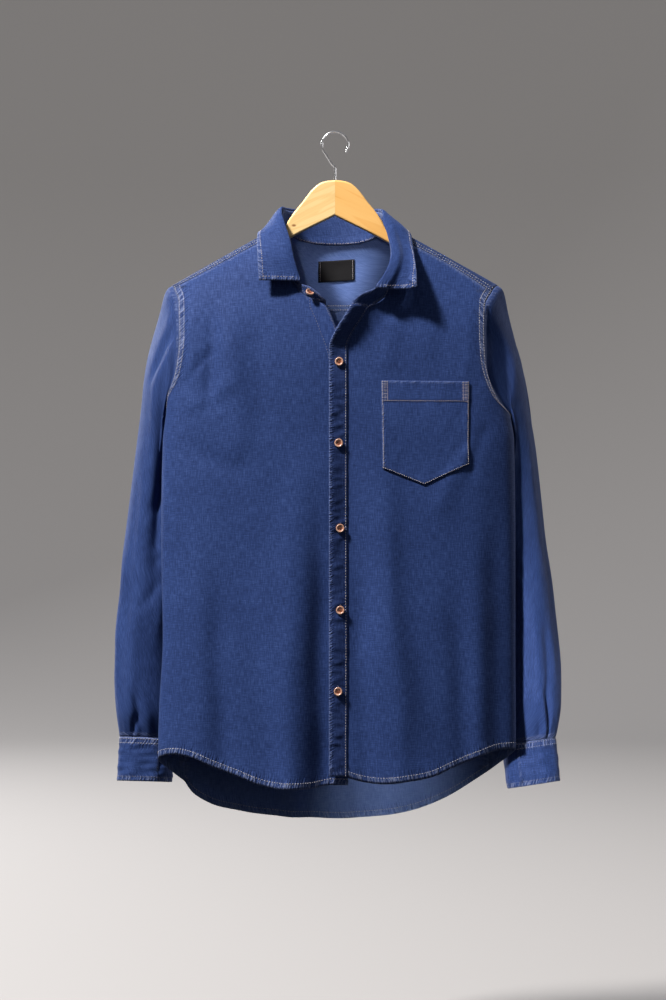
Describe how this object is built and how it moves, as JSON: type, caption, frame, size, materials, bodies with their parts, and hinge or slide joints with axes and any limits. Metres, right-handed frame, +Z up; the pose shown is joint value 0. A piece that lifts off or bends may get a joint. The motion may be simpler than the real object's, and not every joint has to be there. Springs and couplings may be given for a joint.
{
  "type": "denim shirt on a wooden hanger",
  "caption": "Long-sleeved denim shirt with an open collar, button front and chest pocket, hanging from the wire hook of a flat wooden hanger.",
  "frame": {"origin": "inner top of the hook, where it hangs on its rail", "axes": "+Z up along the hook's shank, the front of the shirt faces -Y, the wearer's left is +X"},
  "size_m": [0.6018, 0.1808, 0.9207],
  "materials": {
    "denim": "fine indigo denim, softly faded at seams and folds",
    "label_cloth": "black woven label, bare",
    "horn": "tan horn with a lighter rim",
    "pine": "clear satin varnish, grain along the arms",
    "steel": "polished wire"
  },
  "bodies": {
    "root": {"front_right": "denim", "front_left": "denim", "placket": "denim", "back": "denim", "yoke": "denim", "sleeve_right": "denim", "sleeve_left": "denim", "cuff_right": "denim", "cuff_left": "denim", "collar_stand": "denim", "collar_fall": "denim", "pocket": "denim", "neck_label": "label_cloth", "button_1": "horn", "button_2": "horn", "button_3": "horn", "button_4": "horn", "button_5": "horn", "button_collar": "horn", "hanger_right": "pine", "hanger_left": "pine", "hook": "steel"}
  },
  "joints": []
}
